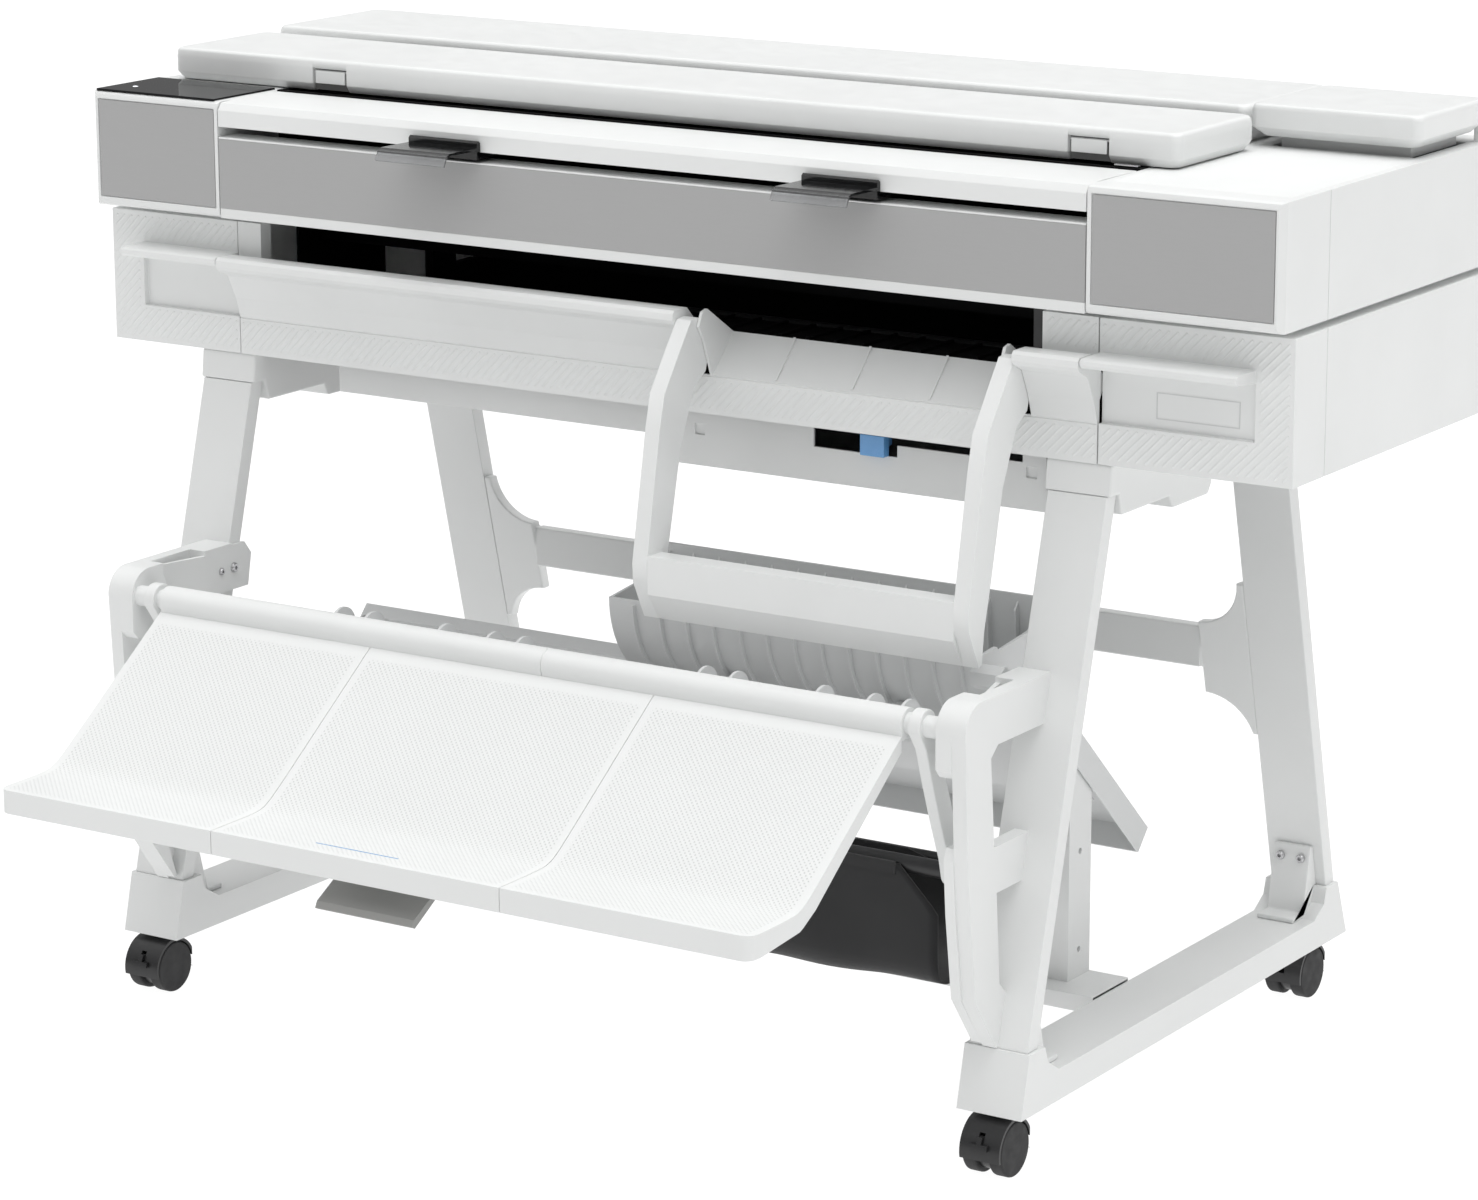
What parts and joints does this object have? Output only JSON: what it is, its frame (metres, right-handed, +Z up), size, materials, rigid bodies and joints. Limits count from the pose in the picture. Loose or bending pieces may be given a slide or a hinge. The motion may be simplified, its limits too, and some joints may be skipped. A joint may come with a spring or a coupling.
{
  "type": "large format plotter",
  "caption": "Wide inkjet plotter with a sheet-fed scanner on top, a swinging media frame, a folding output tray and fabric bin, on a splayed rolling stand",
  "frame": {"origin": "middle of the footprint on the floor", "axes": "+X along the machine to the right seen from its front, -Y front, +Z up"},
  "size_m": [1.318, 0.939, 0.919],
  "materials": {
    "white_plastic": "fine satin grain",
    "shade_plastic": "satin",
    "stand_paint": "powder coat",
    "grey_panel": "brushed satin",
    "black_gloss": "mirror gloss",
    "black_plastic": "satin",
    "smoke": "smoked, translucent",
    "blue_plastic": "satin",
    "cloth": "woven polyester",
    "steel": "zinc plated",
    "rubber": "matt",
    "sheet": "painted sheet"
  },
  "bodies": {
    "machine": {"feet": "stand_paint", "front_legs": "stand_paint", "rear_legs": "stand_paint", "stand_heads": "white_plastic", "low_beam": "stand_paint", "rear_beam": "stand_paint", "leg_brackets": "white_plastic", "stand_bolts": "steel", "tray_brackets": "white_plastic", "tray_rod": "stand_paint", "deflector_basket": "shade_plastic", "bin_frame": "black_plastic", "bin_cloth": "cloth", "stacker_ramp": "sheet", "ramp_posts": "stand_paint", "chassis": "sheet", "lower_end_left": "white_plastic", "lower_end_right": "white_plastic", "output_ledge": "white_plastic", "output_ramp": "white_plastic", "under_tray": "white_plastic", "power_inlet": "black_plastic", "upper_end_left": "white_plastic", "upper_end_right": "white_plastic", "front_fascia": "white_plastic", "fascia_insets": "grey_panel", "feed_table": "white_plastic", "scanner_base": "black_plastic", "control_panel": "black_gloss", "carriage_rail": "steel", "drive_belt": "rubber", "drive_motor": "steel", "platen": "black_plastic", "ink_cartridges": "black_plastic", "power_supply": "steel"},
    "fork_fl": {"caster_fork_fl": "black_plastic"},
    "wheels_fl": {"caster_wheels_fl": "black_plastic"},
    "brake_fl": {"caster_brake_fl": "black_plastic"},
    "fork_fr": {"caster_fork_fr": "black_plastic"},
    "wheels_fr": {"caster_wheels_fr": "black_plastic"},
    "brake_fr": {"caster_brake_fr": "black_plastic"},
    "fork_rl": {"caster_fork_rl": "black_plastic"},
    "wheels_rl": {"caster_wheels_rl": "black_plastic"},
    "fork_rr": {"caster_fork_rr": "black_plastic"},
    "wheels_rr": {"caster_wheels_rr": "black_plastic"},
    "output_tray": {"tray_panels": "white_plastic", "tray_hinge_strip": "white_plastic"},
    "flap": {"tray_flap": "grey_panel"},
    "media_frame": {"bail_frame": "white_plastic"},
    "tray_latch": {"under_tray_latch": "blue_plastic"},
    "left_guide": {"guide_left": "smoke"},
    "right_guide": {"guide_right": "smoke"},
    "lid": {"scanner_lid": "white_plastic"},
    "latches": {"lid_latches": "grey_panel"},
    "roll_lid": {"roll_cover": "white_plastic"},
    "ink_lid": {"ink_cover": "white_plastic"},
    "head": {"carriage": "black_plastic"},
    "pulley": {"drive_pulley": "steel"},
    "roller": {"feed_roller": "rubber"},
    "spindle": {"roll_spindle": "black_plastic"}
  },
  "joints": [
    {"name": "swivel_fl", "type": "hinge", "parent": "machine", "child": "fork_fl", "pos_m": [-0.5165, -0.158, 0.06], "axis": [0, 0, 1], "continuous": true},
    {"name": "roll_fl", "type": "hinge", "parent": "fork_fl", "child": "wheels_fl", "pos_m": [-0.5165, -0.169, 0.0255], "axis": [1, 0, 0], "continuous": true},
    {"name": "brake_press_fl", "type": "hinge", "parent": "fork_fl", "child": "brake_fl", "pos_m": [-0.5165, -0.169, 0.0255], "axis": [1, 0, 0], "range_deg": [0, 10]},
    {"name": "swivel_fr", "type": "hinge", "parent": "machine", "child": "fork_fr", "pos_m": [0.4475, -0.158, 0.06], "axis": [0, 0, 1], "continuous": true},
    {"name": "roll_fr", "type": "hinge", "parent": "fork_fr", "child": "wheels_fr", "pos_m": [0.4475, -0.169, 0.0255], "axis": [1, 0, 0], "continuous": true},
    {"name": "brake_press_fr", "type": "hinge", "parent": "fork_fr", "child": "brake_fr", "pos_m": [0.4475, -0.169, 0.0255], "axis": [1, 0, 0], "range_deg": [0, 10]},
    {"name": "swivel_rl", "type": "hinge", "parent": "machine", "child": "fork_rl", "pos_m": [-0.5165, 0.435, 0.06], "axis": [0, 0, 1], "continuous": true},
    {"name": "roll_rl", "type": "hinge", "parent": "fork_rl", "child": "wheels_rl", "pos_m": [-0.5165, 0.424, 0.0255], "axis": [1, 0, 0], "continuous": true},
    {"name": "swivel_rr", "type": "hinge", "parent": "machine", "child": "fork_rr", "pos_m": [0.4475, 0.435, 0.06], "axis": [0, 0, 1], "continuous": true},
    {"name": "roll_rr", "type": "hinge", "parent": "fork_rr", "child": "wheels_rr", "pos_m": [0.4475, 0.424, 0.0255], "axis": [1, 0, 0], "continuous": true},
    {"name": "tray_tilt", "type": "hinge", "parent": "machine", "child": "output_tray", "pos_m": [-0.0345, -0.215, 0.418], "axis": [-1, 0, 0], "range_deg": [-40, 55]},
    {"name": "flap_fold", "type": "hinge", "parent": "output_tray", "child": "flap", "pos_m": [-0.0345, -0.399, 0.27], "axis": [-1, 0, 0], "range_deg": [-45, 15]},
    {"name": "frame_swing", "type": "hinge", "parent": "machine", "child": "media_frame", "pos_m": [0.22, -0.05, 0.709], "axis": [-1, 0, 0], "range_deg": [0, 80]},
    {"name": "tray_latch_slide", "type": "slide", "parent": "machine", "child": "tray_latch", "axis": [-1, 0, 0], "range_m": [0, 0.045]},
    {"name": "left_guide_slide", "type": "slide", "parent": "machine", "child": "left_guide", "axis": [1, 0, 0], "range_m": [-0.2, 0.14]},
    {"name": "right_guide_slide", "type": "slide", "parent": "machine", "child": "right_guide", "axis": [1, 0, 0], "range_m": [-0.14, 0.2]},
    {"name": "lid_lift", "type": "hinge", "parent": "machine", "child": "lid", "pos_m": [0, 0.184, 0.892], "axis": [-1, 0, 0], "range_deg": [0, 60]},
    {"name": "latch_pull", "type": "hinge", "parent": "lid", "child": "latches", "pos_m": [0, 0.048, 0.9], "axis": [-1, 0, 0], "range_deg": [0, 28]},
    {"name": "roll_cover_lift", "type": "hinge", "parent": "machine", "child": "roll_lid", "pos_m": [0, 0.372, 0.896], "axis": [-1, 0, 0], "range_deg": [0, 78]},
    {"name": "ink_cover_lift", "type": "hinge", "parent": "machine", "child": "ink_lid", "pos_m": [0.57, 0.35, 0.899], "axis": [-1, 0, 0], "range_deg": [0, 75]},
    {"name": "carriage_travel", "type": "slide", "parent": "machine", "child": "head", "axis": [-1, 0, 0], "range_m": [0, 0.82]},
    {"name": "pulley_spin", "type": "hinge", "parent": "machine", "child": "pulley", "pos_m": [0.436, 0.143, 0.742], "axis": [0, 1, 0], "continuous": true},
    {"name": "roller_spin", "type": "hinge", "parent": "machine", "child": "roller", "pos_m": [0, 0.081, 0.688], "axis": [1, 0, 0], "continuous": true},
    {"name": "spindle_spin", "type": "hinge", "parent": "machine", "child": "spindle", "pos_m": [0, 0.29, 0.82], "axis": [1, 0, 0], "continuous": true}
  ],
  "couplings": [
    {"joint": "pulley_spin", "follows": "carriage_travel", "rad_per_m": -83.333}
  ]
}
